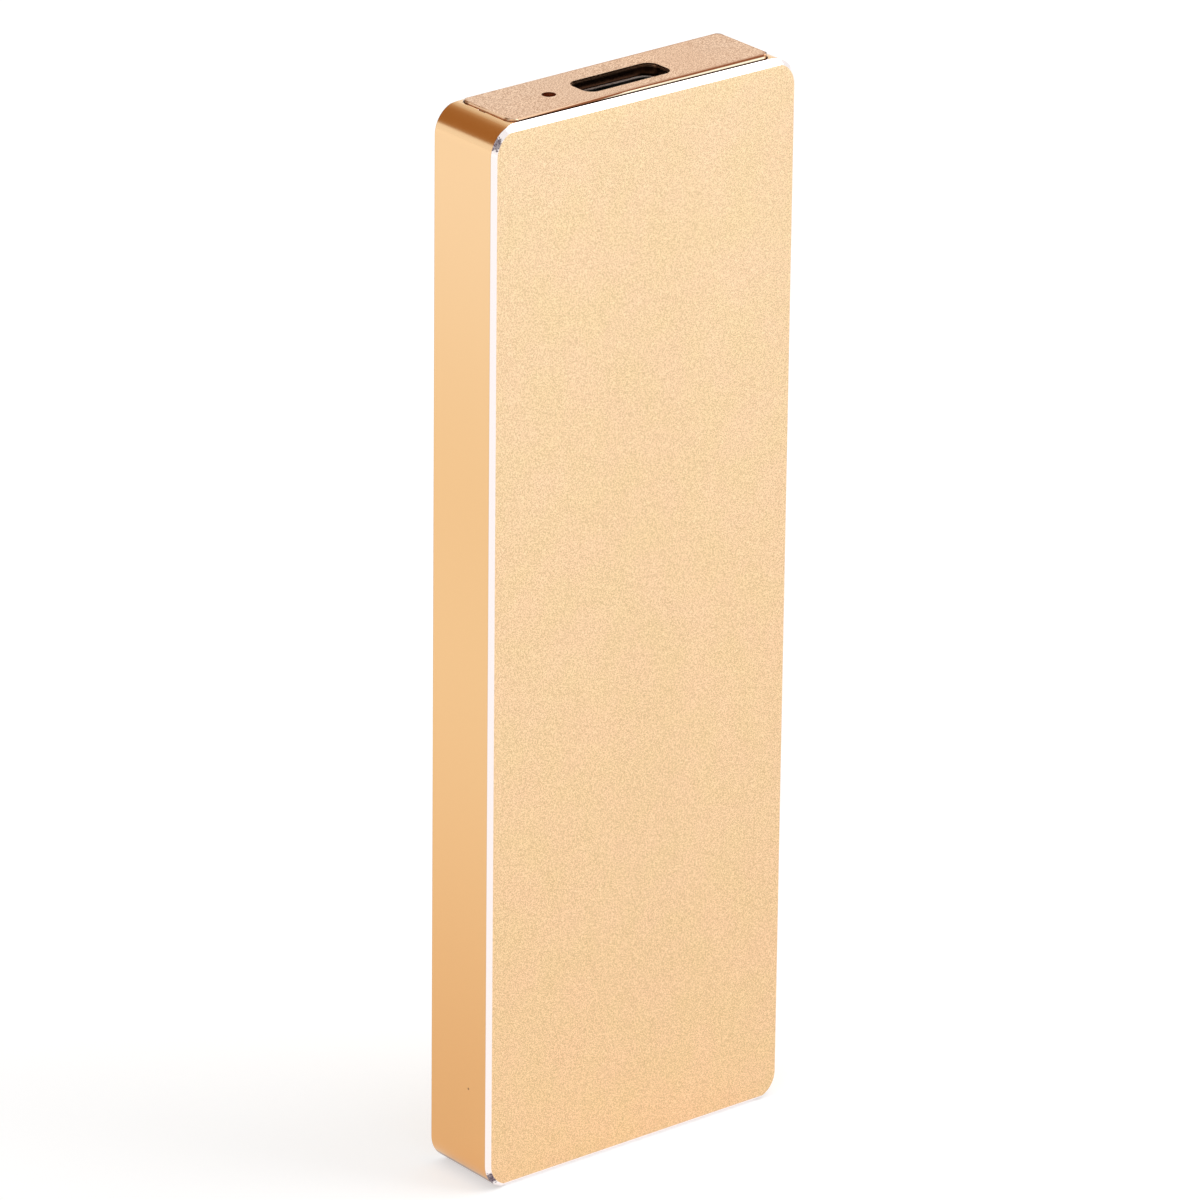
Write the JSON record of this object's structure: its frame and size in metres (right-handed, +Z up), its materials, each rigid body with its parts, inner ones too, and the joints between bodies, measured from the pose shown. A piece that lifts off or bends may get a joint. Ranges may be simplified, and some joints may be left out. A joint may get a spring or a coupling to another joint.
{
  "type": "external solid state drive",
  "caption": "Slim metal drive case with rounded corners, bright bevels round its large faces and one oval data port in its end cap.",
  "frame": {"origin": "middle of the foot face, where the drive stands on its small end", "axes": "+Z up the length towards the data port, +Y through the thickness towards the back, so the front face looks along -Y, +X towards the right side face"},
  "size_m": [0.033, 0.0086, 0.099],
  "materials": {
    "gold_sleeve": "sandblasted and anodised pale gold, side faces satin, bevels cut bright",
    "tan_cap": "sandblasted and anodised tan",
    "gasket_black": "thin double-sided adhesive foam",
    "board_green": "glass-filled laminate with solder mask",
    "port_steel": "nickel-plated sheet",
    "port_plastic": "moulded black insulator",
    "contact_gold": "gold-plated contact strips",
    "chip_black": "moulded black package",
    "coil_grey": "pressed ferrite",
    "crystal_can": "plain metal can",
    "capacitor_tan": "fired ceramic",
    "resistor_black": "thick film chip",
    "lamp_white": "clear resin over a lamp die",
    "pipe_smoke": "smoked clear light guide",
    "pad_grey": "soft thermal pad",
    "film_amber": "thin insulating film",
    "screw_steel": "plated steel"
  },
  "bodies": {
    "root": {"housing": "gold_sleeve", "port_cap": "tan_cap", "foot_cap": "tan_cap", "port_gasket": "gasket_black", "foot_gasket": "gasket_black", "main_board": "board_green", "usb_shell": "port_steel", "usb_insulator": "port_plastic", "usb_mid_plate": "port_steel", "usb_contacts": "contact_gold", "controller": "chip_black", "flash_chip_1": "chip_black", "flash_chip_2": "chip_black", "flash_chip_3": "chip_black", "flash_chip_4": "chip_black", "cache_chip": "chip_black", "boot_chip": "chip_black", "voltage_regulator": "chip_black", "power_coil": "coil_grey", "clock_crystal": "crystal_can", "surge_protector": "chip_black", "bulk_capacitors": "capacitor_tan", "small_capacitors": "capacitor_tan", "chip_resistors": "resistor_black", "status_lamp": "lamp_white", "light_pipe": "pipe_smoke", "front_thermal_pad": "pad_grey", "back_thermal_pad": "pad_grey", "controller_pad": "pad_grey", "insulating_film": "film_amber", "board_screws": "screw_steel"}
  },
  "joints": []
}
